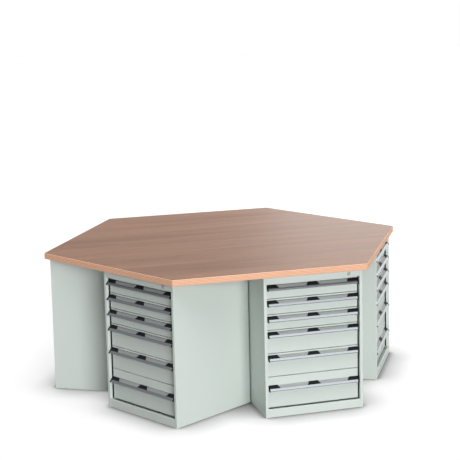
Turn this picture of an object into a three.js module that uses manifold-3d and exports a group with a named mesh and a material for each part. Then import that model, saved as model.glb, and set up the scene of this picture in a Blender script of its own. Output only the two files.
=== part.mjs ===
// Hexagonal workshop bench: six steel drawer cabinets stand in a pinwheel under one hexagonal
// worktop. Each cabinet has its face parallel to one worktop edge and its right side at a corner,
// so every edge has a cabinet and a three-cornered niche beside it.
// Millimetres, +Z up. The origin is on the floor under the middle of the worktop.
// The first cabinet faces -Y. In a cabinet's own frame x runs across its face from the middle,
// y runs from the face towards the back, and z runs up from the floor.
import * as THREE from "three";
import { mergeVertices } from "three/addons/utils/BufferGeometryUtils.js";
import Module from "manifold-3d";

const wasm = await Module();
wasm.setup();

// Bench layout
const cabinetCount = 6;
const frontOverhang = 28; // worktop edge to the cabinet's face
const cornerInset = 25; // worktop corner to the cabinet's side, along the edge
const neighbourGap = 4; // rear corner of one cabinet to the side of the next
const worktopThickness = 40;
const worktopEdgeRound = 3;

// Cabinet housing, folded from sheet steel
const cabinetWidth = 650;
const cabinetDepth = 650;
const housingSheet = 1.5;
const postWidth = 20; // front posts, each folded from the end of a side wall
const postReturn = 30; // the posts' inner flanges run back this far
const rearFlange = 20;
const footFlange = 30; // flanges under the side walls and the sill
const sillHeight = 54;
const sillReturn = 8; // fold along the sill's top edge
const floorHeight = 30; // top of the housing's floor, behind the sill
const headHeight = 43;
const infillSetback = 1; // sill and head lie this far behind the posts' faces
const seatGap = 0.3; // between pieces that are fitted together
const backSheet = 1.2;
const backFlange = 12; // top and bottom folds of the back panel

// Drawers, from the top down
const drawerPitches = [100, 100, 100, 150, 150, 200];
const handleDrops = [10, 10, 10, 10, 10, 54]; // top of the front to the top of the handle
const drawerGap = 3; // between one front and the next
const drawerSheet = 1.2;
const frontRecess = 28; // drawer fronts lie this far behind the posts' faces
const frontThickness = 18;
const frontSideGap = 5;
const trayDrop = 25; // the tray's walls end this far below the top of the front
const trayBackGap = 14;

// Drawer runners: flanged panels inside the housing, bars on the drawers' sides
const runnerSheet = 1.5;
const runnerBarHeight = 10;
const runnerBarWidth = 11;
const runnerHeight = 30; // middle of the bar above the drawer's underside
const runnerInset = 1.5; // runner panels stand this far inside the line of the posts
const runnerEndGap = 2;
const runnerBarStart = 14; // back of the drawer's front to the start of the bar

// Drawer handles: a sloping plate with a raised grip strip along its lower edge and three clips above it
const handleReach = 31;
const handleSlope = Math.PI / 4;
const handlePlate = 2.5;
const gripStripWidth = 18;
const gripStripRise = 2;
const clipRise = 3;
const endClipWidth = 78;
const middleClipWidth = 90;
const clipTaper = 16; // each sloping side of a clip draws in by this much
const endCapWidth = 8; // the end clips run on over the ends of the grip strip
const endCapLip = 2; // past the strip's lower edge

// Lock in the head of each cabinet
const lockFromSide = 91; // lock's axis to the cabinet's right side
const lockBarrelRadius = 8;
const lockBarrelLength = 24;
const lockFlangeRadius = 12;
const lockFlangeThickness = 3;
const lockSlotLength = 9;
const lockSlotWidth = 2;
const lockSlotDepth = 4;
const lockCamLength = 15;
const lockCamWidth = 8;
const lockCamThickness = 3;
const lockSides = 14;

// Sizes that follow from the ones above
const sum = (list) => list.reduce((total, value) => total + value, 0);
const stackBottom = sillHeight + drawerGap;
const stackTop = stackBottom + sum(drawerPitches);
const cabinetHeight = stackTop + headHeight;
const cornerCosine = Math.cos(Math.PI / cabinetCount);
const cornerSine = Math.sin(Math.PI / cabinetCount);
const worktopSide =
  cabinetWidth + cornerInset * (1 - cornerSine) + cornerCosine * (frontOverhang + cabinetDepth) + neighbourGap;
const worktopInradius = worktopSide * cornerCosine;
const faceDistance = worktopInradius - frontOverhang;
const cabinetShift = worktopSide / 2 - cornerInset - cabinetWidth / 2;
const halfWidth = cabinetWidth / 2;
const wallInside = halfWidth - housingSheet;
const openingHalf = halfWidth - postWidth;
const frontHalf = openingHalf - frontSideGap;
const runnerFace = openingHalf - runnerInset;
const barOutside = runnerFace - seatGap;
const trayHalf = barOutside - runnerBarWidth;
const backPanelRear = cabinetDepth - housingSheet - seatGap;
const trayRear = backPanelRear - backFlange - trayBackGap;
const trayFront = frontRecess + frontThickness - drawerSheet;
const runnerFront = Math.max(postReturn, frontRecess + frontThickness) + runnerEndGap;
const runnerRear = backPanelRear - backFlange - runnerEndGap;
const slopeLength = handleReach / Math.cos(handleSlope);
const gripStripStart = slopeLength - gripStripWidth;
const lockOffset = halfWidth - lockFromSide;

// Materials
const paintedSteel = new THREE.MeshStandardMaterial({ color: 0xd6dfd9, roughness: 0.45, metalness: 0.1 });
const beechPlywood = new THREE.MeshStandardMaterial({ color: 0xb0907e, roughness: 0.55, metalness: 0 });
const satinSteel = new THREE.MeshStandardMaterial({ color: 0xb9bbc0, roughness: 0.35, metalness: 0.9 });

// Solids: three.js makes the shapes, and manifold-3d joins and cuts them
function solidFrom(geometry) {
  geometry.deleteAttribute("normal");
  geometry.deleteAttribute("uv");
  const merged = mergeVertices(geometry, 1e-4);
  return new wasm.Manifold(
    new wasm.Mesh({
      numProp: 3,
      vertProperties: merged.attributes.position.array,
      triVerts: new Uint32Array(merged.index.array),
    }),
  );
}

function geometryFrom(solid) {
  const mesh = solid.getMesh();
  const geometry = new THREE.BufferGeometry();
  geometry.setAttribute("position", new THREE.BufferAttribute(mesh.vertProperties, 3));
  geometry.setIndex(new THREE.BufferAttribute(mesh.triVerts, 1));
  geometry.computeVertexNormals();
  return geometry;
}

const join = (solids) => solids.reduce((whole, piece) => whole.add(piece));

function block([x0, x1], [y0, y1], [z0, z1]) {
  const geometry = new THREE.BoxGeometry(x1 - x0, y1 - y0, z1 - z0);
  return solidFrom(geometry.translate((x0 + x1) / 2, (y0 + y1) / 2, (z0 + z1) / 2));
}

function extrusion(outline, depth) {
  const shape = new THREE.Shape(outline.map(([a, b]) => new THREE.Vector2(a, b)));
  return new THREE.ExtrudeGeometry(shape, { depth, bevelEnabled: false });
}

// An outline in x and y, raised from z0 to z1
const raised = (outline, [z0, z1]) => solidFrom(extrusion(outline, z1 - z0).translate(0, 0, z0));

// An outline in x and z, drawn along y
const alongY = (outline, [y0, y1]) =>
  solidFrom(extrusion(outline, y1 - y0).rotateX(Math.PI / 2).translate(0, y1, 0));

// An outline in y and z, drawn along x
function alongX(outline, [x0, x1]) {
  const turn = new THREE.Matrix4().makeBasis(
    new THREE.Vector3(0, 1, 0),
    new THREE.Vector3(0, 0, 1),
    new THREE.Vector3(1, 0, 0),
  );
  return solidFrom(extrusion(outline, x1 - x0).applyMatrix4(turn).translate(x0, 0, 0));
}

// The section of a folded sheet: a path along one face, with the sheet on the path's left,
// or on its right where the thickness is negative
function foldedSheet(path, thickness) {
  const points = path.map(([a, b]) => new THREE.Vector2(a, b));
  const normals = points.slice(1).map((point, i) => {
    const along = point.clone().sub(points[i]).normalize();
    return new THREE.Vector2(-along.y, along.x);
  });
  const inner = points.map((point, i) => {
    const before = normals[Math.max(i - 1, 0)];
    const after = normals[Math.min(i, normals.length - 1)];
    const mitre = before.clone().add(after);
    return point.clone().addScaledVector(mitre, (2 * thickness) / mitre.lengthSq());
  });
  return [...points, ...inner.reverse()].map((point) => [point.x, point.y]);
}

const mirrored = (path, side) => path.map(([x, other]) => [side * x, other]);

// Worktop: a plywood hexagon with softened edges
function worktopGeometry() {
  const outline = Array.from({ length: cabinetCount }, (_, i) => {
    const angle = (2 * Math.PI * i) / cabinetCount;
    const reach = worktopSide - worktopEdgeRound / cornerCosine;
    return [reach * Math.cos(angle), reach * Math.sin(angle)];
  });
  const shape = new THREE.Shape(outline.map(([x, y]) => new THREE.Vector2(x, y)));
  const geometry = new THREE.ExtrudeGeometry(shape, {
    depth: worktopThickness - 2 * worktopEdgeRound,
    bevelSize: worktopEdgeRound,
    bevelThickness: worktopEdgeRound,
    bevelSegments: 3,
  });
  return geometryFrom(solidFrom(geometry.translate(0, 0, cabinetHeight + worktopEdgeRound)));
}

// Side wall: front post, wall and rear flange are one folded sheet, with a foot flange below
function sideWall(side) {
  const path = [
    [openingHalf, postReturn],
    [openingHalf, 0],
    [halfWidth, 0],
    [halfWidth, cabinetDepth],
    [halfWidth - rearFlange, cabinetDepth],
  ];
  const wall = raised(foldedSheet(mirrored(path, side), side * housingSheet), [0, cabinetHeight]);
  const foot = raised(
    mirrored(
      [
        [halfWidth - footFlange, 0],
        [halfWidth, 0],
        [halfWidth, cabinetDepth],
        [halfWidth - footFlange, cabinetDepth],
      ],
      side,
    ),
    [0, housingSheet],
  );
  return wall.add(foot);
}

// Top sheet of the housing, which the worktop lies on
function topSheet() {
  const lap = housingSheet / 2;
  return block(
    [-wallInside - lap, wallInside + lap],
    [lap, cabinetDepth - lap],
    [cabinetHeight - housingSheet, cabinetHeight],
  );
}

// Head over the drawers: a face between the posts, folded back under its lower edge
function head() {
  const path = [
    [postReturn, stackTop],
    [infillSetback, stackTop],
    [infillSetback, cabinetHeight],
  ];
  const reach = openingHalf + housingSheet / 2;
  return alongX(foldedSheet(path, -housingSheet), [-reach, reach]);
}

// Sill under the drawers: a face between the posts, with narrow folds along its top and its foot.
// The housing's floor lies lower, behind it.
function sillAndFloor() {
  const face = [
    [footFlange, 0],
    [infillSetback, 0],
    [infillSetback, sillHeight],
    [infillSetback + sillReturn, sillHeight],
  ];
  const faceReach = openingHalf + housingSheet / 2;
  const floorReach = wallInside + housingSheet / 2;
  return alongX(foldedSheet(face, -housingSheet), [-faceReach, faceReach]).add(
    block(
      [-floorReach, floorReach],
      [infillSetback + housingSheet / 2, cabinetDepth - housingSheet / 2],
      [floorHeight - housingSheet, floorHeight],
    ),
  );
}

// Underside of each drawer's front, from the top drawer down
const drawerBottoms = drawerPitches.map((_, i) => stackTop - sum(drawerPitches.slice(0, i + 1)));

// Runner panel of one side: an inner wall that stands off the side wall, with two flanges for each
// drawer that hold the drawer's runner bar between them
function runnerPanel(side) {
  const anchor = wallInside + housingSheet / 2;
  const bottom = sillHeight - housingSheet / 2;
  const tip = runnerFace - runnerBarWidth + runnerEndGap;
  const reach = runnerBarHeight / 2 + seatGap;
  const flange = (low) => [
    [runnerFace, low],
    [tip, low],
    [tip, low + runnerSheet],
    [runnerFace, low + runnerSheet],
  ];
  const middles = drawerBottoms.map((z) => z + runnerHeight).reverse();
  const outline = [
    [anchor, bottom],
    [runnerFace, bottom],
    ...middles.flatMap((middle) => [...flange(middle - reach - runnerSheet), ...flange(middle + reach)]),
    [runnerFace, stackTop],
    [anchor, stackTop],
    [anchor, stackTop - runnerSheet],
    [runnerFace + runnerSheet, stackTop - runnerSheet],
    [runnerFace + runnerSheet, bottom + runnerSheet],
    [anchor, bottom + runnerSheet],
  ];
  return alongY(mirrored(outline, side), [runnerFront, runnerRear]);
}

const lockHeight = cabinetHeight - headHeight / 2;

function cylinderAlongY(radius, [y0, y1]) {
  const geometry = new THREE.CylinderGeometry(radius, radius, y1 - y0, lockSides);
  return solidFrom(geometry.translate(0, (y0 + y1) / 2, 0));
}

// Housing: the welded shell with its runner panels, and a hole for the lock
function housingGeometry() {
  const shell = join([
    sideWall(-1),
    sideWall(1),
    topSheet(),
    head(),
    sillAndFloor(),
    runnerPanel(-1),
    runnerPanel(1),
  ]);
  const hole = new THREE.CylinderGeometry(
    lockBarrelRadius + seatGap,
    lockBarrelRadius + seatGap,
    4 * housingSheet,
    lockSides,
  );
  return geometryFrom(
    shell.subtract(solidFrom(hole.translate(lockOffset, infillSetback + housingSheet / 2, lockHeight))),
  );
}

// Back panel: one sheet, folded forward along its top and bottom, against the rear flanges
function backPanelGeometry() {
  const bottom = floorHeight + seatGap;
  const top = cabinetHeight - housingSheet - seatGap;
  const path = [
    [backPanelRear - backFlange, bottom],
    [backPanelRear, bottom],
    [backPanelRear, top],
    [backPanelRear - backFlange, top],
  ];
  const reach = wallInside - seatGap;
  return geometryFrom(alongX(foldedSheet(path, backSheet), [-reach, reach]));
}

// Lock: barrel and flange with a key slot, and a cam behind. Its origin is on the axis at the head's face.
function lockGeometry() {
  const flangeFront = -seatGap - lockFlangeThickness;
  const body = join([
    cylinderAlongY(lockFlangeRadius, [flangeFront, -seatGap]),
    cylinderAlongY(lockBarrelRadius, [flangeFront / 2, lockBarrelLength]),
    block(
      [-lockCamWidth / 2, lockCamWidth / 2],
      [lockBarrelLength - lockCamThickness, lockBarrelLength],
      [-lockCamLength, 0],
    ),
  ]);
  const slot = block(
    [-lockSlotWidth / 2, lockSlotWidth / 2],
    [flangeFront - lockSlotDepth, flangeFront + lockSlotDepth],
    [-lockSlotLength / 2, lockSlotLength / 2],
  );
  return geometryFrom(body.subtract(slot));
}

// Front of a drawer: a sheet folded back on all four edges, open behind
function drawerFront(height) {
  const pan = block([-frontHalf, frontHalf], [frontRecess, frontRecess + frontThickness], [0, height]);
  const hollow = block(
    [-frontHalf + drawerSheet, frontHalf - drawerSheet],
    [frontRecess + drawerSheet, frontRecess + 2 * frontThickness],
    [drawerSheet, height - drawerSheet],
  );
  return pan.subtract(hollow);
}

// Tray of a drawer: four walls and a floor behind the front
function drawerTray(height) {
  const outside = block([-trayHalf, trayHalf], [trayFront, trayRear], [0, height]);
  const inside = block(
    [-trayHalf + drawerSheet, trayHalf - drawerSheet],
    [trayFront + drawerSheet, trayRear - drawerSheet],
    [drawerSheet, 2 * height],
  );
  return outside.subtract(inside);
}

// Runner bar on one side of a drawer
function runnerBar(side) {
  const x = [side * (trayHalf - drawerSheet / 2), side * barOutside].sort((a, b) => a - b);
  return block(
    x,
    [trayFront + runnerBarStart, trayRear],
    [runnerHeight - runnerBarHeight / 2, runnerHeight + runnerBarHeight / 2],
  );
}

// Handle of a drawer: the plate and its grip strip are one section, drawn along the front. The clips are
// tapered plates on it, and the end ones run on into caps. Distances s run down the slope, n out of it.
function drawerHandle(top) {
  const frontLap = drawerSheet / 2 / Math.cos(handleSlope);
  const section = [
    [handlePlate * Math.tan(handleSlope) - frontLap, -handlePlate],
    [slopeLength, -handlePlate],
    [slopeLength, gripStripRise],
    [gripStripStart, gripStripRise],
    [gripStripStart, 0],
    [-frontLap, 0],
  ].map(([s, n]) => [
    frontRecess - s * Math.cos(handleSlope) - n * Math.sin(handleSlope),
    top - s * Math.sin(handleSlope) + n * Math.cos(handleSlope),
  ]);
  const across = new THREE.Vector3(1, 0, 0);
  const down = new THREE.Vector3(0, -Math.cos(handleSlope), -Math.sin(handleSlope));
  const slope = new THREE.Matrix4()
    .makeBasis(across, down, across.clone().cross(down))
    .setPosition(0, frontRecess, top);
  const onSlope = (outline) =>
    solidFrom(
      extrusion(outline, clipRise + handlePlate / 2).translate(0, 0, -clipRise).applyMatrix4(slope),
    );
  const middleHalf = middleClipWidth / 2;
  const middleClip = [
    [-middleHalf, gripStripStart],
    [-middleHalf + clipTaper, 0],
    [middleHalf - clipTaper, 0],
    [middleHalf, gripStripStart],
  ];
  const endClip = [
    [frontHalf, 0],
    [frontHalf, slopeLength + endCapLip],
    [frontHalf - endCapWidth, slopeLength + endCapLip],
    [frontHalf - endCapWidth, gripStripStart],
    [frontHalf - endClipWidth, gripStripStart],
    [frontHalf - endClipWidth + clipTaper, 0],
  ];
  return join([
    alongX(section, [-frontHalf + endCapWidth / 2, frontHalf - endCapWidth / 2]),
    onSlope(middleClip),
    onSlope(endClip),
    onSlope(mirrored(endClip, -1)),
  ]);
}

// Drawer: front, tray, runner bars and handle. Its origin is at the underside of its front.
function drawerGeometry(index) {
  const frontHeight = drawerPitches[index] - drawerGap;
  return geometryFrom(
    join([
      drawerFront(frontHeight),
      drawerTray(frontHeight - trayDrop),
      runnerBar(-1),
      runnerBar(1),
      drawerHandle(frontHeight - handleDrops[index]),
    ]),
  );
}

function part(name, geometry, material, position = [0, 0, 0]) {
  const mesh = new THREE.Mesh(geometry, material);
  mesh.name = name;
  mesh.position.set(...position);
  return mesh;
}

// Bench
const housing = housingGeometry();
const backPanel = backPanelGeometry();
const lock = lockGeometry();
const drawers = drawerPitches.map((_, i) => drawerGeometry(i));

function cabinet(number) {
  const name = (piece) => `cabinet_${number}_${piece}`;
  const pieces = new THREE.Group();
  pieces.position.set(cabinetShift, -faceDistance, 0);
  pieces.add(
    part(name("housing"), housing, paintedSteel),
    part(name("back_panel"), backPanel, paintedSteel),
    part(name("lock"), lock, satinSteel, [lockOffset, infillSetback, lockHeight]),
    ...drawers.map((geometry, i) =>
      part(name(`drawer_${i + 1}`), geometry, paintedSteel, [0, 0, drawerBottoms[i]]),
    ),
  );
  const turned = new THREE.Group();
  turned.rotation.z = (2 * Math.PI * (number - 1)) / cabinetCount;
  return turned.add(pieces);
}

const bench = new THREE.Group();
bench.add(part("worktop", worktopGeometry(), beechPlywood));
for (let number = 1; number <= cabinetCount; number += 1) {
  bench.add(cabinet(number));
}

export default bench;
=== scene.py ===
# %% [markdown]
# # A hexagonal workshop bench
# Six steel drawer cabinets stand in a pinwheel under one hexagonal plywood worktop. The solids of the
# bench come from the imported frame, which also says what moves: every drawer slides and every lock
# turns. This lesson dresses that frame. Each step explains one piece or finish, makes it, and prints
# the result.

import math

import bmesh
import bpy
from mathutils import Matrix, Vector


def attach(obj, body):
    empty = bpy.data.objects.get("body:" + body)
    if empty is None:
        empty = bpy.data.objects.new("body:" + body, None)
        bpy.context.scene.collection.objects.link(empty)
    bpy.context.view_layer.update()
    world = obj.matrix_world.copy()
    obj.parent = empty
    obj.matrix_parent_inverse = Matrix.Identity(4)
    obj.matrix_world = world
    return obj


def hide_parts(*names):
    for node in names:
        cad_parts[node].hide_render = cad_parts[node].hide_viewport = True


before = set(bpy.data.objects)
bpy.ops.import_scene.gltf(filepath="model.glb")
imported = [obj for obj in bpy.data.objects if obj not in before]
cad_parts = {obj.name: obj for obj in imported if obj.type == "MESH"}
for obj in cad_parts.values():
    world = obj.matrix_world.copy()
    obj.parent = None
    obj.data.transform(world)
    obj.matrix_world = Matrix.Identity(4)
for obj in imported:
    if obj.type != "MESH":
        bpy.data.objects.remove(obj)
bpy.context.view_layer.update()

# %% [markdown]
# ## Sizes
# The bench was drawn in millimetres, and Blender works in metres. The sizes that several pieces share
# are repeated here once, and a piece's own sizes stand beside it. In a cabinet's own frame x runs across
# its face from the middle, y runs from the face towards the back, and z runs up from the floor. The
# heights of the runner bars count from a drawer's underside. The last three sizes are the small gaps
# that fitted pieces and meeting sheets keep.

# %% Sizes that the pieces share
MM = 0.001
CABINETS = 6
WIDTH, DEPTH, HEIGHT = 650 * MM, 650 * MM, 900 * MM
POST, POST_RETURN, REAR_FLANGE, FOOT_FLANGE = 20 * MM, 30 * MM, 20 * MM, 30 * MM
SHEET, SETBACK, BACK_FLANGE = 1.5 * MM, 1 * MM, 12 * MM
SILL_TOP, SILL_RETURN, FLOOR_TOP, STACK_TOP = 54 * MM, 8 * MM, 30 * MM, 857 * MM
PITCHES = [100 * MM, 100 * MM, 100 * MM, 150 * MM, 150 * MM, 200 * MM]
HANDLE_DROPS = [10 * MM] * 5 + [54 * MM]
DRAWER_GAP, DRAWER_SHEET = 3 * MM, 1.2 * MM
FRONT_RECESS, FRONT_THICKNESS, FRONT_SIDE_GAP = 28 * MM, 18 * MM, 5 * MM
TRAY_DROP, TRAY_BACK_GAP = 25 * MM, 14 * MM
RUNNER_INSET, RUNNER_END_GAP = 1.5 * MM, 2 * MM
BAR_WIDTH, BAR_LOW, BAR_HIGH = 11 * MM, 25 * MM, 35 * MM
OVERHANG, CORNER_INSET, NEIGHBOUR_GAP = 28 * MM, 25 * MM, 4 * MM
BOARD = 40 * MM
SEAT_GAP, SEAM, HAIRLINE = 0.3 * MM, 0.2 * MM, 0.1 * MM
print("cabinets", CABINETS, "with", len(PITCHES), "drawers each")

# %% Sizes that follow from them
HALF = WIDTH / 2
OPENING = HALF - POST
FRONT_HALF = OPENING - FRONT_SIDE_GAP
RUNNER_FACE = OPENING - RUNNER_INSET
BAR_OUTSIDE = RUNNER_FACE - SEAT_GAP
TRAY_HALF = BAR_OUTSIDE - BAR_WIDTH
TRAY_FRONT = FRONT_RECESS + FRONT_THICKNESS - DRAWER_SHEET
BACK_FACE = DEPTH - SHEET - SEAT_GAP - BACK_FLANGE
TRAY_REAR = BACK_FACE - TRAY_BACK_GAP
RUNNER_FRONT = FRONT_RECESS + FRONT_THICKNESS + RUNNER_END_GAP
RUNNER_REAR = BACK_FACE - RUNNER_END_GAP
CORNER = math.pi / CABINETS
CORNER_PART = CORNER_INSET * (1 - math.sin(CORNER))
SIDE = WIDTH + CORNER_PART + math.cos(CORNER) * (OVERHANG + DEPTH) + NEIGHBOUR_GAP
FACE_DISTANCE = SIDE * math.cos(CORNER) - OVERHANG
SHIFT = SIDE / 2 - CORNER_INSET - HALF
BOTTOMS = [STACK_TOP - sum(PITCHES[: i + 1]) for i in range(len(PITCHES))]
print("worktop edge %.4f m, first drawer's underside %.3f m" % (SIDE, BOTTOMS[0]))

# %% [markdown]
# ## Camera
# The photograph was taken from a little above the worktop with a long lens, and the bench stands low in
# its frame. A camera aimed by hand would only come near that, so the eye, the aim in radians and the lens
# in pixels were fitted to the corners of the worktop and of the cabinets. A small lens shift keeps the
# upright edges nearly as parallel as they are in the photograph.

# %% Camera
IMAGE, SENSOR_WIDTH = 460, 36
eye = Vector((-2.17299, -8.19127, 2.65472))
yaw, pitch, roll = 1.28250, 0.15293, -0.01954
focal_pixels, centre_x, centre_y = 1242.291, 260.0, 180.0

ahead = Vector((math.cos(yaw) * math.cos(pitch), math.sin(yaw) * math.cos(pitch), -math.sin(pitch)))
level_right = Vector((math.sin(yaw), -math.cos(yaw), 0))
level_up = level_right.cross(ahead)
right = level_right * math.cos(roll) + level_up * math.sin(roll)
up = level_up * math.cos(roll) - level_right * math.sin(roll)

camera_data = bpy.data.cameras.new("bench_camera")
camera_data.sensor_width = SENSOR_WIDTH
camera_data.lens = focal_pixels / IMAGE * SENSOR_WIDTH
camera_data.shift_x = 0.5 - centre_x / IMAGE
camera_data.shift_y = centre_y / IMAGE - 0.5
camera = bpy.data.objects.new("bench_camera", camera_data)
camera.matrix_world = Matrix((right, up, -ahead)).transposed().to_4x4()
camera.location = eye
bpy.context.scene.collection.objects.link(camera)
bpy.context.scene.camera = camera
bpy.context.scene.view_settings.view_transform = "Standard"
print("lens %.1f mm, shift %.3f %.3f" % (camera_data.lens, camera_data.shift_x, camera_data.shift_y))

# %% [markdown]
# ## Light and floor
# The bench is lit as in a studio. A soft lamp in front and a wide one overhead do most of the work, so
# the fronts are bright and the faces that turn to the left stay greyer. Three weaker lamps only give
# shine: two let the metal handles glint, and a large one behind lays a sheen on the worktop. The
# background is white only for the camera and for reflections, through the Light Path node, so it adds no
# light to the bench.

# %% Helpers for node trees
WHITE = (1, 1, 1, 1)
MIX_FACTOR = 0
COLOUR_FIRST, COLOUR_SECOND, COLOUR_RESULT = 6, 7, 2
NUMBER_FIRST, NUMBER_SECOND, NUMBER_RESULT = 2, 3, 0


def add_node(tree, kind, **values):
    """Adds a node and sets its properties, or its inputs where a name is an input's."""
    node = tree.nodes.new(kind)
    for key, value in values.items():
        if hasattr(node, key):
            setattr(node, key, value)
        else:
            node.inputs[key.replace("_", " ")].default_value = value
    return node


def feed(tree, socket, value):
    """Links a socket to another node's output, or sets it where value is a number or a colour."""
    if isinstance(value, bpy.types.NodeSocket):
        tree.links.new(value, socket)
    else:
        socket.default_value = value


def mix_colours(tree, share, first, second, blend_type="MIX"):
    """Mixes two colours. A Mix node has sockets of one name for each kind of data, so they are numbered."""
    node = add_node(tree, "ShaderNodeMix", data_type="RGBA", blend_type=blend_type)
    for index, value in ((MIX_FACTOR, share), (COLOUR_FIRST, first), (COLOUR_SECOND, second)):
        feed(tree, node.inputs[index], value)
    return node.outputs[COLOUR_RESULT]


def background_rays(tree):
    """One where a ray comes from the camera, a reflection or clear material, and nought elsewhere."""
    path = add_node(tree, "ShaderNodeLightPath")
    first = add_node(tree, "ShaderNodeMath", operation="MAXIMUM")
    both = add_node(tree, "ShaderNodeMath", operation="MAXIMUM")
    tree.links.new(path.outputs["Is Camera Ray"], first.inputs[0])
    tree.links.new(path.outputs["Is Glossy Ray"], first.inputs[1])
    tree.links.new(first.outputs[0], both.inputs[0])
    tree.links.new(path.outputs["Is Transmission Ray"], both.inputs[1])
    return both.outputs[0]


def choose_shader(tree, elsewhere, seen):
    """One shader for the camera's and reflected rays, and another for the light that is cast."""
    choice = add_node(tree, "ShaderNodeMixShader")
    for socket, value in zip(choice.inputs, (background_rays(tree), elsewhere, seen)):
        tree.links.new(value, socket)
    return choice.outputs[0]


# %% Sky
SKY_LEVEL = 0.09
world = bpy.data.worlds.new("studio_sky")
world.use_nodes = True
sky = world.node_tree
sky.nodes.clear()
sky_light = add_node(sky, "ShaderNodeBackground", Color=WHITE, Strength=SKY_LEVEL)
sky_seen = add_node(sky, "ShaderNodeBackground", Color=WHITE, Strength=1.0)
sky_out = add_node(sky, "ShaderNodeOutputWorld")
sky.links.new(choose_shader(sky, sky_light.outputs[0], sky_seen.outputs[0]), sky_out.inputs["Surface"])
bpy.context.scene.world = world
print("sky level", SKY_LEVEL)


# %% Lamps
def add_sun(name, angle, height, level, spread):
    """A soft lamp far away, seen from the bench at an angle round it and a height above the floor."""
    data = bpy.data.lights.new(name, "SUN")
    data.energy = level
    data.angle = math.radians(spread)
    turn, rise = math.radians(angle), math.radians(height)
    towards = Vector((math.cos(turn) * math.cos(rise), math.sin(turn) * math.cos(rise), math.sin(rise)))
    lamp = bpy.data.objects.new(name, data)
    lamp.rotation_euler = towards.to_track_quat("Z", "Y").to_euler()
    bpy.context.scene.collection.objects.link(lamp)
    print(name, "from", [round(v, 2) for v in towards])


add_sun("front_lamp", angle=-86, height=9, level=2.35, spread=28)
add_sun("overhead_lamp", angle=-86, height=81, level=2.00, spread=66)
add_sun("top_glint_lamp", angle=-46, height=69, level=0.35, spread=22)
add_sun("side_glint_lamp", angle=44, height=11, level=0.14, spread=16)

# %% Lamp behind the worktop
SHEEN_SIZE, SHEEN_POWER = 3.0, 115
sheen_place = Vector((3.6, 5.8, 2.7))
sheen_data = bpy.data.lights.new("sheen_lamp", "AREA")
sheen_data.shape = "SQUARE"
sheen_data.size = SHEEN_SIZE
sheen_data.energy = SHEEN_POWER
sheen_lamp = bpy.data.objects.new("sheen_lamp", sheen_data)
sheen_lamp.location = sheen_place
sheen_lamp.rotation_euler = (sheen_place - Vector((0, 0, HEIGHT))).to_track_quat("Z", "Y").to_euler()
bpy.context.scene.collection.objects.link(sheen_lamp)
print("sheen lamp at", [round(v, 2) for v in sheen_place])

# %% [markdown]
# The floor is seen as white and darkens where the bench stands on it, in a wide soft shade and in a thin
# line at the foot. Two Ambient Occlusion nodes with a long and a short reach give them. The light that
# the floor bounces is that of a grey floor, so that the walls aren't lit from below.

# %% Floor paint
FLOOR_GREY, FLOOR_WHITE, FLOOR_GLOW = 0.30, 0.42, 0.63
CONTACT_REACHES, CONTACT_SAMPLES = (0.25, 0.045), 16


def grey(level):
    """A neutral colour."""
    return (level, level, level, 1)


def floor_paint():
    """White and shaded where it is seen, grey where it sends light on."""
    material = bpy.data.materials.new("studio_floor")
    material.use_nodes = True
    tree = material.node_tree
    tree.nodes.clear()
    wide, thin = [
        add_node(tree, "ShaderNodeAmbientOcclusion", samples=CONTACT_SAMPLES, Distance=reach, Color=WHITE)
        for reach in CONTACT_REACHES
    ]
    contact = mix_colours(tree, 1.0, wide.outputs["Color"], thin.outputs["Color"], "MULTIPLY")
    dull = add_node(tree, "ShaderNodeBsdfDiffuse", Color=grey(FLOOR_GREY))
    pale = add_node(tree, "ShaderNodeBsdfDiffuse")
    glow = add_node(tree, "ShaderNodeEmission", Strength=FLOOR_GLOW)
    tree.links.new(mix_colours(tree, 1.0, contact, grey(FLOOR_WHITE), "MULTIPLY"), pale.inputs["Color"])
    tree.links.new(contact, glow.inputs["Color"])
    lifted = add_node(tree, "ShaderNodeAddShader")
    tree.links.new(pale.outputs[0], lifted.inputs[0])
    tree.links.new(glow.outputs[0], lifted.inputs[1])
    out = add_node(tree, "ShaderNodeOutputMaterial")
    tree.links.new(choose_shader(tree, dull.outputs[0], lifted.outputs[0]), out.inputs["Surface"])
    return material


# %% Floor
FLOOR_REACH = 40.0


def put_in_scene(name, bm, finish):
    """Makes a mesh object from a bmesh and frees it. finish is a material, or a list of them."""
    mesh = bpy.data.meshes.new(name)
    bm.to_mesh(mesh)
    bm.free()
    for material in finish if isinstance(finish, list) else [finish]:
        mesh.materials.append(material)
    piece = bpy.data.objects.new(name, mesh)
    bpy.context.scene.collection.objects.link(piece)
    return piece


bm = bmesh.new()
bmesh.ops.create_grid(bm, x_segments=1, y_segments=1, size=FLOOR_REACH)
floor = put_in_scene("studio_floor", bm, floor_paint())
print("floor", FLOOR_REACH, "m each way")

# %% [markdown]
# ## Shared effects
# Paint, plastic and metal all have a fine grain that breaks up their gloss. That effect is one node
# group, placed in each material with its own scale. It puts out a mask that varies the colour and
# roughness and a height for the bump. The pattern reads a vector that the material gives it, so that a
# brushed finish can stretch it along a piece.

# %% Node group: surface grain
FINE_SHARE = 0.35


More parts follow.
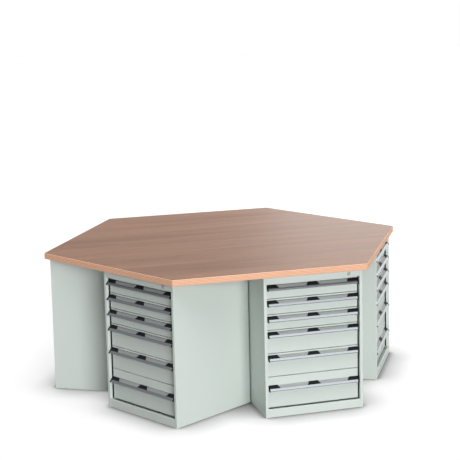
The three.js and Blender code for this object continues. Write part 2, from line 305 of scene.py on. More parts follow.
def surface_grain_group():
    """A slow and a fine noise on a given vector, as a mask and as a height."""
    group = bpy.data.node_groups.new("surface_grain", "ShaderNodeTree")
    face = group.interface
    face.new_socket("Vector", in_out="INPUT", socket_type="NodeSocketVector")
    face.new_socket("Slow Scale", in_out="INPUT", socket_type="NodeSocketFloat").default_value = 4
    face.new_socket("Fine Scale", in_out="INPUT", socket_type="NodeSocketFloat").default_value = 400
    face.new_socket("Mask", in_out="OUTPUT", socket_type="NodeSocketFloat")
    face.new_socket("Height", in_out="OUTPUT", socket_type="NodeSocketFloat")
    given = group.nodes.new("NodeGroupInput")
    result = group.nodes.new("NodeGroupOutput")
    slow = add_node(group, "ShaderNodeTexNoise", Detail=3.0, Roughness=0.55)
    fine = add_node(group, "ShaderNodeTexNoise", Detail=2.0, Roughness=0.5)
    mask = add_node(group, "ShaderNodeMix", data_type="FLOAT")
    mask.inputs[MIX_FACTOR].default_value = FINE_SHARE
    group.links.new(given.outputs["Vector"], slow.inputs["Vector"])
    group.links.new(given.outputs["Vector"], fine.inputs["Vector"])
    group.links.new(given.outputs["Slow Scale"], slow.inputs["Scale"])
    group.links.new(given.outputs["Fine Scale"], fine.inputs["Scale"])
    group.links.new(slow.outputs["Fac"], mask.inputs[NUMBER_FIRST])
    group.links.new(fine.outputs["Fac"], mask.inputs[NUMBER_SECOND])
    group.links.new(mask.outputs[NUMBER_RESULT], result.inputs["Mask"])
    group.links.new(fine.outputs["Fac"], result.inputs["Height"])
    return group


SURFACE_GRAIN = surface_grain_group()
print("group", SURFACE_GRAIN.name, [s.name for s in SURFACE_GRAIN.interface.items_tree])


# %% Helpers for finishes
def new_finish(name, shine, metallic=0.0):
    """A new material, with its node tree and its shader."""
    material = bpy.data.materials.new(name)
    material.use_nodes = True
    shader = material.node_tree.nodes["Principled BSDF"]
    shader.inputs["Metallic"].default_value = metallic
    shader.inputs["Specular IOR Level"].default_value = shine
    return material, material.node_tree, shader


def stretched(tree, vector, scale):
    """A vector scaled along each axis, which draws a pattern out along the least of them."""
    node = add_node(tree, "ShaderNodeMapping", Scale=scale)
    tree.links.new(vector, node.inputs["Vector"])
    return node.outputs[0]


def set_surface(tree, shader, colour, gloss_mask, rough, height, bump, depth):
    """Gives a shader its colour, a roughness between two values that follows a mask, and a bump."""
    gloss = add_node(tree, "ShaderNodeMapRange", To_Min=rough[0], To_Max=rough[1])
    relief = add_node(tree, "ShaderNodeBump", Strength=bump, Distance=depth)
    tree.links.new(gloss_mask, gloss.inputs["Value"])
    tree.links.new(height, relief.inputs["Height"])
    tree.links.new(colour, shader.inputs["Base Color"])
    tree.links.new(gloss.outputs[0], shader.inputs["Roughness"])
    tree.links.new(relief.outputs[0], shader.inputs["Normal"])


# %% A finish with grain
def grained_finish(
    name, dark, light, rough, slow, fine, bump, depth, metallic=0.0, shine=0.5, stretch=None
):
    """A material whose colour, roughness and bump follow the surface grain. dark and light are colours,
    rough is the lowest and highest roughness, and stretch scales the pattern in the cabinet's own
    frame."""
    material, tree, shader = new_finish(name, shine, metallic)
    if stretch is None:
        vector = add_node(tree, "ShaderNodeTexCoord").outputs["Object"]
    else:
        own = add_node(tree, "ShaderNodeAttribute", attribute_name="own_place")
        vector = stretched(tree, own.outputs["Vector"], stretch)
    grain = add_node(tree, "ShaderNodeGroup", node_tree=SURFACE_GRAIN)
    grain.inputs["Slow Scale"].default_value = slow
    grain.inputs["Fine Scale"].default_value = fine
    tree.links.new(vector, grain.inputs["Vector"])
    mask, height = grain.outputs["Mask"], grain.outputs["Height"]
    tint = mix_colours(tree, mask, (*dark, 1), (*light, 1))
    set_surface(tree, shader, tint, mask, rough, height, bump, depth)
    return material


# %% [markdown]
# ## Finishes of metal and plastic
# The cabinets have a light grey-green powder coat: pale, half matt, with the faint dimples that such
# paint dries with. The handles are anodised aluminium, drawn along their length. It is a dark metal that
# looks bright only where it mirrors a lamp, so the same handle is white on one cabinet and grey on the
# next. Their labels are grey card. Clips are black plastic with a fine moulded grain, and the same black
# paints the shade beside the drawers and in the key slots. The runner bars are zinc plated, and the lock
# is satin nickel. One function makes them all, because they differ only in colour, gloss and the scale of
# their grain.

# %% Metal and plastic finishes
powder_coat = grained_finish(
    "powder_coat", dark=(0.66, 0.725, 0.685), light=(0.70, 0.765, 0.725), rough=(0.36, 0.52),
    slow=3.0, fine=420.0, bump=0.10, depth=0.4 * MM, shine=0.25,
)
drawn_aluminium = grained_finish(
    "drawn_aluminium", dark=(0.138, 0.149, 0.160), light=(0.168, 0.181, 0.194), rough=(0.26, 0.36),
    slow=2.0, fine=60.0, bump=0.05, depth=0.2 * MM, metallic=1.0, stretch=(0.6, 40, 40),
)
label_grey = grained_finish(
    "label_grey", dark=(0.31, 0.325, 0.315), light=(0.36, 0.375, 0.365), rough=(0.50, 0.62),
    slow=8.0, fine=900.0, bump=0.05, depth=0.1 * MM, shine=0.3,
)
black_plastic = grained_finish(
    "black_plastic", dark=(0.010, 0.010, 0.012), light=(0.015, 0.015, 0.018), rough=(0.46, 0.60),
    slow=12.0, fine=1400.0, bump=0.15, depth=0.2 * MM, shine=0.06,
)
zinc_plate = grained_finish(
    "zinc_plate", dark=(0.50, 0.52, 0.55), light=(0.66, 0.67, 0.69), rough=(0.28, 0.48),
    slow=30.0, fine=300.0, bump=0.05, depth=0.1 * MM, metallic=0.9,
)
satin_nickel = grained_finish(
    "satin_nickel", dark=(0.30, 0.295, 0.285), light=(0.38, 0.372, 0.36), rough=(0.42, 0.56),
    slow=60.0, fine=900.0, bump=0.05, depth=0.1 * MM, metallic=0.6, shine=0.3,
)
for finish in (powder_coat, drawn_aluminium, label_grey, black_plastic, zinc_plate, satin_nickel):
    print("finish", finish.name)

# %% [markdown]
# ## Beech plywood
# The worktop's face is peeled beech veneer: soft streaks along one edge of the hexagon, fine pores,
# short dark flecks, and a thin clear lacquer. Its edges show the plies. Every second ply runs the other
# way, so light long-grain layers alternate with layers of darker end grain, with a thin glue line
# between them. The face is coloured far darker than the edges: partly the wood's own tones, and partly
# painted shade on the face and painted light on the edges. A picture of wood would blur close up and
# couldn't follow the layers round the edge, so noise stretched along the grain draws the veneer, and the
# height in the board picks the ply.


# %% Beech face
def noise(tree, vector, **values):
    """A noise pattern on a vector."""
    node = add_node(tree, "ShaderNodeTexNoise", **values)
    tree.links.new(vector, node.inputs["Vector"])
    return node.outputs["Fac"]


def colour_ramp(tree, value, start, start_colour, end, end_colour):
    """Turns a value into a colour that changes between two stops."""
    node = add_node(tree, "ShaderNodeValToRGB")
    low_stop, high_stop = node.color_ramp.elements
    low_stop.position, low_stop.color = start, (*start_colour, 1)
    high_stop.position, high_stop.color = end, (*end_colour, 1)
    tree.links.new(value, node.inputs["Fac"])
    return node.outputs[0]


STREAK_STRETCH, PORE_STRETCH, FLECK_STRETCH = (0.55, 6.5, 6.5), (18, 420, 420), (70, 520, 520)
PORE_SHARE, FLECK_SHARE = 0.7, 0.6
# The streak colours are the veneer's tones darkened by painted shade on the face.
SHADED_DARK_STREAK, SHADED_PALE_STREAK = (0.218, 0.114, 0.069), (0.330, 0.189, 0.126)
PORE_TINT, FLECK_TINT, NO_TINT = (0.80, 0.75, 0.72), (0.62, 0.52, 0.46), (1, 1, 1)
LACQUER, LACQUER_ROUGHNESS = 0.02, 0.35


def beech_face():
    """Veneer with streaks along x, pores, flecks and lacquer."""
    material, tree, shader = new_finish("beech_face", shine=0.14)
    shader.inputs["Coat Weight"].default_value = LACQUER
    shader.inputs["Coat Roughness"].default_value = LACQUER_ROUGHNESS
    place = add_node(tree, "ShaderNodeTexCoord").outputs["Object"]
    streaks = noise(
        tree, stretched(tree, place, STREAK_STRETCH), Scale=1.0, Detail=6.0, Roughness=0.62, Distortion=0.4
    )
    pores = noise(tree, stretched(tree, place, PORE_STRETCH), Scale=1.0, Detail=3.0, Roughness=0.6)
    flecks = add_node(tree, "ShaderNodeTexVoronoi", Scale=1.0)
    tree.links.new(stretched(tree, place, FLECK_STRETCH), flecks.inputs["Vector"])
    tone = colour_ramp(tree, streaks, 0.36, SHADED_DARK_STREAK, 0.64, SHADED_PALE_STREAK)
    pore_shade = colour_ramp(tree, pores, 0.36, PORE_TINT, 0.56, NO_TINT)
    fleck_shade = colour_ramp(tree, flecks.outputs["Distance"], 0.06, FLECK_TINT, 0.20, NO_TINT)
    pored = mix_colours(tree, PORE_SHARE, tone, pore_shade, "MULTIPLY")
    flecked = mix_colours(tree, FLECK_SHARE, pored, fleck_shade, "MULTIPLY")
    set_surface(tree, shader, flecked, streaks, (0.46, 0.62), pores, bump=0.12, depth=0.4 * MM)
    return material


BEECH_FACE = beech_face()
print("finish", BEECH_FACE.name)

# %% Beech plies
PLIES = 9
PLY = BOARD / PLIES
GLUE_SHARE = 0.07
FIBRE_STRETCH, END_GRAIN_SCALE = (22, 22, 700), 900.0
# The ply colours are the edge's own tones brightened by painted light on the edges.
LIT_LONG_DARK, LIT_LONG_PALE = (0.95, 0.58, 0.39, 1), (0.99, 0.67, 0.48, 1)
LIT_END_DARK, LIT_END_PALE, GLUE_TINT = (0.76, 0.36, 0.22, 1), (0.88, 0.46, 0.30, 1), (0.74, 0.62, 0.54, 1)


def beech_plies():
    """Edge of the plywood: bands along z, every second one of end grain, with glue lines."""
    material, tree, shader = new_finish("beech_plies", shine=0.12)
    place = add_node(tree, "ShaderNodeTexCoord").outputs["Object"]
    split = add_node(tree, "ShaderNodeSeparateXYZ")
    tree.links.new(place, split.inputs[0])

    def calc(operation, first, second):
        node = add_node(tree, "ShaderNodeMath", operation=operation)
        feed(tree, node.inputs[0], first)
        feed(tree, node.inputs[1], second)
        return node.outputs[0]

    layer = calc("DIVIDE", calc("SUBTRACT", split.outputs["Z"], HEIGHT), PLY)
    crosswise = calc("GREATER_THAN", calc("MODULO", layer, 2.0), 1.0)
    within = calc("FRACT", layer, 0.0)
    glue = calc("LESS_THAN", calc("MINIMUM", within, calc("SUBTRACT", 1.0, within)), GLUE_SHARE)
    fibres = noise(tree, stretched(tree, place, FIBRE_STRETCH), Scale=1.0, Detail=3.0)
    ends = noise(tree, place, Scale=END_GRAIN_SCALE, Detail=2.0)
    long_tone = mix_colours(tree, fibres, LIT_LONG_DARK, LIT_LONG_PALE)
    end_tone = mix_colours(tree, ends, LIT_END_DARK, LIT_END_PALE)
    plies = mix_colours(tree, crosswise, long_tone, end_tone)
    glued = mix_colours(tree, glue, plies, GLUE_TINT, "MULTIPLY")
    set_surface(tree, shader, glued, ends, (0.5, 0.66), ends, bump=0.15, depth=0.4 * MM)
    return material


BEECH_PLIES = beech_plies()
print("finish", BEECH_PLIES.name, "ply %.2f mm" % (PLY / MM))

# %% [markdown]
# ## Setting pieces in place
# All six cabinets are alike. A piece is modelled once, in the cabinet's own frame, then copied and
# turned into each place. Objects that share one mesh would be lighter, but here the place goes into the
# mesh, so that every object stays at the origin and can ride on its own body. The point in the cabinet's
# own frame is kept in an attribute, which a brushed finish can follow on any cabinet.


# %% Helpers that place a piece
def cabinet_turn(cabinet):
    """The matrix from a cabinet's own frame to the bench's."""
    turn = Matrix.Rotation(2 * math.pi * (cabinet - 1) / CABINETS, 4, "Z")
    return turn @ Matrix.Translation((SHIFT, -FACE_DISTANCE, 0))


def set_in_cabinet(name, model, finish, cabinet, lift=0.0):
    """Copies a model into a cabinet's place and keeps each point's own place as an attribute."""
    bm = model.copy()
    bmesh.ops.translate(bm, verts=bm.verts, vec=(0, 0, lift))
    own = bm.verts.layers.float_vector.new("own_place")
    for vert in bm.verts:
        vert[own] = vert.co
    bmesh.ops.transform(bm, matrix=cabinet_turn(cabinet), verts=bm.verts)
    return put_in_scene(name, bm, finish)


def join_models(models):
    """One bmesh with the geometry of several, which are freed."""
    whole = bmesh.new()
    for model in models:
        mesh = bpy.data.meshes.new("joined")
        model.to_mesh(mesh)
        model.free()
        whole.from_mesh(mesh)
        bpy.data.meshes.remove(mesh)
    return whole


# %% Helpers that shape a piece
def round_edges(bm, edges, radius, segments=2):
    """Rounds the given edges."""
    bmesh.ops.bevel(
        bm, geom=edges, offset=radius, offset_type="OFFSET", affect="EDGES", segments=segments,
        profile=0.5, material=-1, clamp_overlap=True,
    )


def new_verts(result):
    """The vertices that an operator made."""
    return [item for item in result["geom"] if isinstance(item, bmesh.types.BMVert)]


def folds(bm):
    """The edges where two faces meet."""
    return [edge for edge in bm.edges if len(edge.link_faces) == 2]


def block(low, high, radius=0.0, segments=2):
    """A box between two corners, with rounded edges."""
    bm = bmesh.new()
    bmesh.ops.create_cube(bm, size=1)
    size = Vector(high) - Vector(low)
    bmesh.ops.scale(bm, vec=size, verts=bm.verts)
    bmesh.ops.translate(bm, vec=(Vector(low) + Vector(high)) / 2, verts=bm.verts)
    if radius:
        round_edges(bm, bm.edges[:], radius, segments)
    return bm


def side_block(side, xs, ys, zs, radius=0.0, segments=2):
    """A box on the right of a cabinet, or its mirror image on the left where side is -1."""
    x0, x1 = sorted(side * x for x in xs)
    return block((x0, ys[0], zs[0]), (x1, ys[1], zs[1]), radius, segments)


def extents(bm):
    """The lowest and highest x, y and z of a bmesh, in millimetres, for printing."""
    axes = list(zip(*(vert.co for vert in bm.verts)))
    return [(round(min(a) / MM, 1), round(max(a) / MM, 1)) for a in axes]


# %% [markdown]
# ## Worktop
# A six-sided circle, extruded to the board's thickness, is the whole board. Its edges are eased with a
# small bevel, as a planed worktop's are. A modifier could do that, but a bevel in the mesh leaves faces
# that the script can tell apart: every face that doesn't point up or down shows the plies.

# %% Worktop
EASED_EDGE, EASED_SEGMENTS, FLAT_ENOUGH = 3 * MM, 3, 0.95
bm = bmesh.new()
bmesh.ops.create_circle(bm, cap_ends=True, segments=CABINETS, radius=SIDE)
bmesh.ops.rotate(bm, verts=bm.verts, matrix=Matrix.Rotation(math.pi / 2, 3, "Z"))
bmesh.ops.translate(bm, verts=bm.verts, vec=(0, 0, HEIGHT))
risen = bmesh.ops.extrude_face_region(bm, geom=bm.faces[:])
bmesh.ops.translate(bm, vec=(0, 0, BOARD), verts=new_verts(risen))
bmesh.ops.recalc_face_normals(bm, faces=bm.faces)
round_edges(bm, bm.edges[:], EASED_EDGE, EASED_SEGMENTS)
for face in bm.faces:
    face.normal_update()
    face.material_index = 0 if abs(face.normal.z) > FLAT_ENOUGH else 1
worktop = put_in_scene("worktop_board", bm, [BEECH_FACE, BEECH_PLIES])
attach(worktop, "bench")
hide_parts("worktop")
print("worktop", [round(v, 3) for v in worktop.dimensions])

# %% [markdown]
# ## Folded sheet steel
# Nearly everything in a cabinet is folded from sheet. Plain blocks would be quicker, but they have no
# inside and no rounded folds. So one helper makes such a piece the way a press brake does: it draws the
# sheet's face as a line, pulls the line out to a length, rounds the folds with a bevel, and gives the
# face its thickness with solidify.

# %% A folded sheet
BEND, BEND_SEGMENTS = 2 * MM, 3


def folded_sheet(path, run, thickness, bend=BEND):
    """path is the line of the sheet's face, run the way it is pulled, and thickness grows to the side
    that makes it positive or negative."""
    bm = bmesh.new()
    points = [bm.verts.new(point) for point in path]
    line = [bm.edges.new(pair) for pair in zip(points, points[1:])]
    pulled = bmesh.ops.extrude_edge_only(bm, edges=line)
    bmesh.ops.translate(bm, vec=run, verts=new_verts(pulled))
    round_edges(bm, folds(bm), bend, BEND_SEGMENTS)
    bmesh.ops.solidify(bm, geom=bm.faces[:], thickness=-thickness)
    bmesh.ops.recalc_face_normals(bm, faces=bm.faces)
    return bm


# %% [markdown]
# ## Cabinet housing
# A side wall is one sheet: it turns round the front to make a post, and in again behind. The head over
# the drawers and the sill under them are set back between the posts by a millimetre, which leaves the
# fine upright line that the photograph shows at each post. Sheets that meet keep a hairline seam, so
# that no two faces lie in one plane.

# %% Walls, head and sill
POST_BEND, TOP_INSET = 2.5 * MM, 2 * MM


def side_wall(side):
    """Post, wall and rear flange of one side, with the flange it stands on."""
    path = [
        (OPENING, POST_RETURN), (OPENING, 0), (HALF, 0), (HALF, DEPTH), (HALF - REAR_FLANGE, DEPTH),
    ]
    wall = folded_sheet([(side * x, y, 0) for x, y in path], (0, 0, HEIGHT), side * SHEET, POST_BEND)
    foot = side_block(side, (HALF - FOOT_FLANGE, HALF - SHEET), (SHEET, DEPTH - SHEET), (0, SHEET))
    return [wall, foot]


def head_and_sill():
    """Head and sill between the posts, floor and top sheet."""
    reach = OPENING - SEAM
    pull = (2 * reach, 0, 0)
    head = [(POST_RETURN, STACK_TOP), (SETBACK, STACK_TOP), (SETBACK, HEIGHT - SEAM)]
    sill = [(FOOT_FLANGE, 0), (SETBACK, 0), (SETBACK, SILL_TOP), (SETBACK + SILL_RETURN, SILL_TOP)]
    sheets = [folded_sheet([(-reach, y, z) for y, z in path], pull, -SHEET) for path in (head, sill)]
    inner = HALF - SHEET - SEAM
    rear = DEPTH - SHEET - SEAM
    bottom = block((-inner, SETBACK + SHEET + SEAM, FLOOR_TOP - SHEET), (inner, rear, FLOOR_TOP))
    top = block((-inner, SHEET + TOP_INSET, HEIGHT - SHEET), (inner, rear, HEIGHT - HAIRLINE))
    return [*sheets, bottom, top]


# %% Runner panels
RUNNER_SHEET, FLANGE, FLANGE_REACH, FLANGE_ROUND = 1.3 * MM, 1.4 * MM, 9 * MM, 0.4 * MM
BAR_PLAY = 0.4 * MM


def runner_panel(side):
    """Inner wall of one side, and the two flanges that carry each drawer's bar between them."""
    pull = (0, RUNNER_REAR - RUNNER_FRONT, 0)
    anchor = HALF - SHEET - SEAM
    face = RUNNER_FACE + HAIRLINE
    low_edge = SILL_TOP + SEAM
    panel = [(anchor, low_edge), (face, low_edge), (face, STACK_TOP), (anchor, STACK_TOP)]
    path = [(side * x, RUNNER_FRONT, z) for x, z in panel]
    models = [folded_sheet(path, pull, side * RUNNER_SHEET)]
    xs, ys = (RUNNER_FACE - FLANGE_REACH, RUNNER_FACE), (RUNNER_FRONT, RUNNER_REAR)
    for bottom in BOTTOMS:
        low, high = bottom + BAR_LOW - BAR_PLAY, bottom + BAR_HIGH + BAR_PLAY
        for zs in ((low - FLANGE, low), (high, high + FLANGE)):
            models.append(side_block(side, xs, ys, zs, FLANGE_ROUND, segments=1))
    return models


housing_model = join_models(
    [*side_wall(-1), *side_wall(1), *head_and_sill(), *runner_panel(-1), *runner_panel(1)]
)
print("housing", extents(housing_model), "faces", len(housing_model.faces))

# %% Housings in place
for cabinet in range(1, CABINETS + 1):
    node = f"cabinet_{cabinet}_housing"
    housing = set_in_cabinet(f"{node}_shell", housing_model, powder_coat, cabinet)
    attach(housing, "bench")
    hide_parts(node)
    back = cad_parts[f"cabinet_{cabinet}_back_panel"]
    back.data.materials.clear()
    back.data.materials.append(powder_coat)
housing_model.free()
print("housings", CABINETS)

# %% [markdown]
# ## Painted shade beside the drawers
# A dark upright line runs at each side of the drawers, the shade in the gap beside each post. It is
# painted with a black strip: a thin block on the post's return gives it, and the runner bars still pass
# beside it.

# %% Painted shade strips
# Black strips that paint the shade in the gaps beside the drawers.
SHADE_STRIP, SHADE_STRIP_FRONT, SHADE_STRIP_REAR = 1 * MM, 20 * MM, 29.5 * MM
shade_strip_outside = OPENING - HAIRLINE
shade_strip_model = join_models(
    [
        side_block(
            side, (shade_strip_outside - SHADE_STRIP, shade_strip_outside), (SHADE_STRIP_FRONT, SHADE_STRIP_REAR),
            (SILL_TOP + SEAM, STACK_TOP - SEAM),
        )
        for side in (-1, 1)
    ]
)
print("shade_strips", extents(shade_strip_model))
for cabinet in range(1, CABINETS + 1):
    shade_strips = set_in_cabinet(f"cabinet_{cabinet}_seals", shade_strip_model, black_plastic, cabinet)
    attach(shade_strips, "bench")
shade_strip_model.free()

# %% [markdown]
# ## Drawers
# A drawer's front is a shallow pan: a sheet whose four edges are folded back. A solid slab would look the
# same from outside, but a drawer that is pulled out shows the folded edges. The tray behind it is an
# open box with a narrow rim turned in along its top, which stiffens the walls and keeps hands off the
# raw edge. The three heights of drawer come from the same code.

# %% Drawer front and tray
SHADOW_GAP, FRONT_BEND = 1.5 * MM, 1.3 * MM
TRAY_RIM, TRAY_BEND = 7 * MM, 2 * MM


def drawer_front(height):
    """A rectangle with its edges pulled back, the folds rounded and the sheet given its thickness."""
    height -= SHADOW_GAP
    bm = bmesh.new()
    bmesh.ops.create_grid(bm, x_segments=1, y_segments=1, size=0.5)
    bmesh.ops.rotate(bm, verts=bm.verts, matrix=Matrix.Rotation(math.pi / 2, 3, "X"))
    bmesh.ops.scale(bm, vec=(2 * FRONT_HALF, 1, height), verts=bm.verts)
    bmesh.ops.translate(bm, vec=(0, FRONT_RECESS, height / 2), verts=bm.verts)
    pulled = bmesh.ops.extrude_edge_only(bm, edges=bm.edges[:])
    bmesh.ops.translate(bm, vec=(0, FRONT_THICKNESS, 0), verts=new_verts(pulled))
    bmesh.ops.recalc_face_normals(bm, faces=bm.faces)
    round_edges(bm, folds(bm), FRONT_BEND, BEND_SEGMENTS)
    bmesh.ops.solidify(bm, geom=bm.faces[:], thickness=DRAWER_SHEET)
    return bm


def drawer_tray(height):
    """An open box with a rim turned in."""
    front = TRAY_FRONT + DRAWER_SHEET + SEAM
    bm = block((-TRAY_HALF, front, SEAM), (TRAY_HALF, TRAY_REAR, height))
    lid = max(bm.faces, key=lambda face: face.calc_center_median().z)
    bmesh.ops.inset_region(bm, faces=[lid], thickness=TRAY_RIM, use_even_offset=True)
    bmesh.ops.delete(bm, geom=[lid], context="FACES")
    round_edges(bm, folds(bm), TRAY_BEND)
    bmesh.ops.solidify(bm, geom=bm.faces[:], thickness=DRAWER_SHEET)
    return bm


def drawer_shell(pitch):
    """Front and tray of one height of drawer."""
    height = pitch - DRAWER_GAP
    return join_models([drawer_front(height), drawer_tray(height - TRAY_DROP)])


shell_models = {pitch: drawer_shell(pitch) for pitch in sorted(set(PITCHES))}
for pitch, model in shell_models.items():
    print("drawer %.0f mm" % (pitch / MM), extents(model), "faces", len(model.faces))

# %% [markdown]
# ## Drawer handles
# The handle is an aluminium section that slopes away from the front at half a right angle. Its upper
# part is a shallow channel for a label, filled with a grey insert. Its lower part is the grip: a raised
# strip whose edge turns under, where fingers hook behind it. Three black clips lie across the channel.
# They are narrow at the drawer and widen towards the grip, and the end ones run on into caps.
# Everything is drawn lying flat, with y down the slope and z out of it, and then turned into place,
# because sizes are easier to give that way.

# %% Handle slope
SLOPE, HANDLE_REACH = math.pi / 4, 31 * MM
SLOPE_LENGTH = HANDLE_REACH / math.cos(SLOPE)
GRIP_WIDTH, CAP, CAP_TUCK = 18 * MM, 8 * MM, 1 * MM
GRIP_START = SLOPE_LENGTH - GRIP_WIDTH
CAP_INSIDE = FRONT_HALF - CAP


def slope_turn(top):
    """From the flat drawing of a handle to its sloping place below the top of its drawer's front."""
    across = Vector((1, 0, 0))
    down = Vector((0, -math.cos(SLOPE), -math.sin(SLOPE)))
    out = -across.cross(down)
    basis = Matrix((across, down, out)).transposed().to_4x4()
    return Matrix.Translation((0, FRONT_RECESS, top)) @ basis


print("slope %.1f mm, grip from %.1f mm" % (SLOPE_LENGTH / MM, GRIP_START / MM))

# %% Handle section and label
SECTION_TOP, SECTION_SHEET, SECTION_BEND = 0.4 * MM, 1.4 * MM, 0.7 * MM
GRIP_RISE, GRIP_DROP, GRIP_RETURN = 2 * MM, 3 * MM, 5 * MM
LABEL_TOP, LABEL_FACE, LABEL_SIDE_GAP, LABEL_ROUND = 4 * MM, 0.9 * MM, 0.6 * MM, 0.3 * MM


def handle_section():
    """Label channel and grip, folded from one line and pulled along x into the caps."""
    path = [
        (SECTION_TOP, 0), (GRIP_START, 0), (GRIP_START, GRIP_RISE), (SLOPE_LENGTH, GRIP_RISE),
        (SLOPE_LENGTH, -GRIP_DROP), (SLOPE_LENGTH - GRIP_RETURN, -GRIP_DROP),
    ]
    reach = CAP_INSIDE + CAP_TUCK
    line = [(-reach, y, z) for y, z in path]
    return folded_sheet(line, (2 * reach, 0, 0), -SECTION_SHEET, SECTION_BEND)


def label_insert():
    """A thin strip in the channel, under the clips."""
    reach = CAP_INSIDE - CAP_TUCK
    end = GRIP_START - LABEL_SIDE_GAP
    return block((-reach, LABEL_TOP, HAIRLINE), (reach, end, LABEL_FACE), LABEL_ROUND, segments=1)


section_model = handle_section()
label_model = label_insert()
for name, model in (("section", section_model), ("label", label_model)):
    print(name, extents(model), "faces", len(model.faces))

# %% Clips and caps
END_CLIP, MIDDLE_CLIP, TAPER = 78 * MM, 90 * MM, 16 * MM
CLIP_TOP, CLIP_OVERLAP, CLIP_ROUND = 0.6 * MM, 0.4 * MM, 0.9 * MM
CLIP_RISE, CLIP_THICKNESS = 3 * MM, 2 * MM
CAP_LIP, CAP_DROP, CAP_PROUD, CAP_ROUND, CAP_SEGMENTS = 2 * MM, 4.6 * MM, 0.4 * MM, 1.6 * MM, 3


def tapered_clip(low, high, taper_low, taper_high):
    """A plate that widens down the slope."""
    bm = bmesh.new()
    end = GRIP_START + CLIP_OVERLAP
    corners = [(low + taper_low, CLIP_TOP), (high - taper_high, CLIP_TOP), (high, end), (low, end)]
    plate = bm.faces.new([bm.verts.new((x, y, CLIP_RISE)) for x, y in corners])
    deep = bmesh.ops.extrude_face_region(bm, geom=[plate])
    bmesh.ops.translate(bm, vec=(0, 0, -CLIP_THICKNESS), verts=new_verts(deep))
    bmesh.ops.recalc_face_normals(bm, faces=bm.faces)
    round_edges(bm, bm.edges[:], CLIP_ROUND)
    return bm


def end_cap(side):
    """A plate over the end of the handle, from the drawer's front to past the grip."""
    return side_block(
        side, (CAP_INSIDE, FRONT_HALF), (CLIP_TOP, SLOPE_LENGTH + CAP_LIP),
        (-CAP_DROP, CLIP_RISE + CAP_PROUD), CAP_ROUND, CAP_SEGMENTS,
    )


clip_model = join_models(
    [
        tapered_clip(-FRONT_HALF + CAP_TUCK, -FRONT_HALF + END_CLIP, 0, TAPER),
        tapered_clip(-MIDDLE_CLIP / 2, MIDDLE_CLIP / 2, TAPER, TAPER),
        tapered_clip(FRONT_HALF - END_CLIP, FRONT_HALF - CAP_TUCK, TAPER, 0),
        end_cap(-1),
        end_cap(1),
    ]
)
print("clips", extents(clip_model), "faces", len(clip_model.faces))

# %% [markdown]
# ## Runner bars
# A zinc-plated bar on each side of the tray rides between two flanges of the runner panel. It is only
# seen when a drawer is pulled out, so a block with rounded edges is enough.

# %% Runner bars
BAR_START, BAR_ROUND = 14 * MM, 1 * MM
bar_model = join_models(
    [
        side_block(
            side, (TRAY_HALF + HAIRLINE, BAR_OUTSIDE), (TRAY_FRONT + BAR_START, TRAY_REAR),
            (BAR_LOW, BAR_HIGH), BAR_ROUND,
        )
        for side in (-1, 1)
    ]
)
print("bars", extents(bar_model))

# %% Drawers in place
for cabinet in range(1, CABINETS + 1):
    for index, pitch in enumerate(PITCHES):
        node = f"cabinet_{cabinet}_drawer_{index + 1}"
        lift = BOTTOMS[index]
        slope = slope_turn(pitch - DRAWER_GAP - HANDLE_DROPS[index])
        shell = set_in_cabinet(f"{node}_shell", shell_models[pitch], powder_coat, cabinet, lift)
        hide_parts(node)
        pieces = [(shell, "painted_steel")]
        for part, model, finish, slot_name in (
            ("grip", section_model, drawn_aluminium, "handle_strip"),
            ("label", label_model, label_grey, "handle_bracket"),
            ("clips", clip_model, black_plastic, "handle_bracket"),
        ):
            sloped = model.copy()
            bmesh.ops.transform(sloped, matrix=slope, verts=sloped.verts)
            bmesh.ops.recalc_face_normals(sloped, faces=sloped.faces)
            pieces.append((set_in_cabinet(f"{node}_{part}", sloped, finish, cabinet, lift), slot_name))
            sloped.free()
        bars = set_in_cabinet(f"{node}_bars", bar_model, zinc_plate, cabinet, lift)
        pieces.append((bars, "lock_metal"))
        for piece, slot_name in pieces:
            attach(piece, node)
for model in (*shell_models.values(), section_model, label_model, clip_model, bar_model):
    model.free()
print("drawers", CABINETS * len(PITCHES))

# %% [markdown]
# ## Locks
# A small cylinder lock sits at the right of each head. Its section is drawn as a line and spun round the
# axis, because it is round everywhere. The key slot is painted shade: a thin black inlay in the front of
# the barrel stands for the dark of the slot.

# %% Lock barrel and cam
LOCK_STEPS, SAME_POINT = 32, 0.01 * MM
CAM_HALF, CAM_FRONT, CAM_REAR, CAM_DROP, CAM_RISE = 4 * MM, 21.1 * MM, 24 * MM, 15 * MM, 5 * MM
CAM_ROUND = 1 * MM


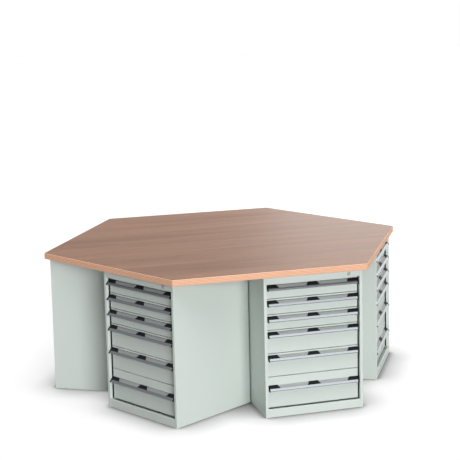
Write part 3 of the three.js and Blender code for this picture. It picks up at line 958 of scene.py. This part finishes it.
def lock_barrel():
    """Flange, barrel and cam. The axis is y, and the head's face is at nought. The outline gives the
    radius and y of each corner in millimetres, from the front of the barrel to its rear end."""
    outline = [
        (0, -2.6), (5.2, -2.6), (5.6, -3.0), (9.6, -3.0), (11.4, -2.2), (12, -0.9), (12, -0.35),
        (8, -0.35), (8, 21), (0, 21),
    ]
    bm = bmesh.new()
    points = [bm.verts.new((radius * MM, y * MM, 0)) for radius, y in outline]
    line = [bm.edges.new(pair) for pair in zip(points, points[1:])]
    bmesh.ops.spin(
        bm, geom=points + line, cent=(0, 0, 0), axis=(0, 1, 0), angle=2 * math.pi, steps=LOCK_STEPS,
        use_merge=True,
    )
    bmesh.ops.remove_doubles(bm, verts=bm.verts, dist=SAME_POINT)
    bmesh.ops.recalc_face_normals(bm, faces=bm.faces)
    cam = block((-CAM_HALF, CAM_FRONT, -CAM_DROP), (CAM_HALF, CAM_REAR, CAM_RISE), CAM_ROUND)
    return join_models([bm, cam])


barrel_model = lock_barrel()
print("lock", extents(barrel_model), "faces", len(barrel_model.faces))

# %% Painted shade of the key slots, and locks in place
SLOT_HALF, SLOT_REACH, SLOT_FRONT, SLOT_REAR = 0.9 * MM, 4.4 * MM, -2.9 * MM, -2.5 * MM
SLOT_ROUND, LOCK_FROM_SIDE = 0.15 * MM, 91 * MM
slot_low, slot_high = (-SLOT_HALF, SLOT_FRONT, -SLOT_REACH), (SLOT_HALF, SLOT_REAR, SLOT_REACH)
# A thin black block paints the shade of the key slot.
slot_shade_model = block(slot_low, slot_high, SLOT_ROUND, segments=1)
lock_place = (HALF - LOCK_FROM_SIDE, SETBACK, (HEIGHT + STACK_TOP) / 2)
for model in (barrel_model, slot_shade_model):
    bmesh.ops.translate(model, vec=lock_place, verts=model.verts)
for cabinet in range(1, CABINETS + 1):
    node = f"cabinet_{cabinet}_lock"
    barrel = set_in_cabinet(f"{node}_barrel", barrel_model, satin_nickel, cabinet)
    key_slot_shade = set_in_cabinet(f"{node}_key_slot_shade", slot_shade_model, black_plastic, cabinet)
    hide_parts(node)
    for piece, slot_name in ((barrel, "lock_metal"), (key_slot_shade, "handle_bracket")):
        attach(piece, node)
barrel_model.free()
slot_shade_model.free()
print("locks", CABINETS)
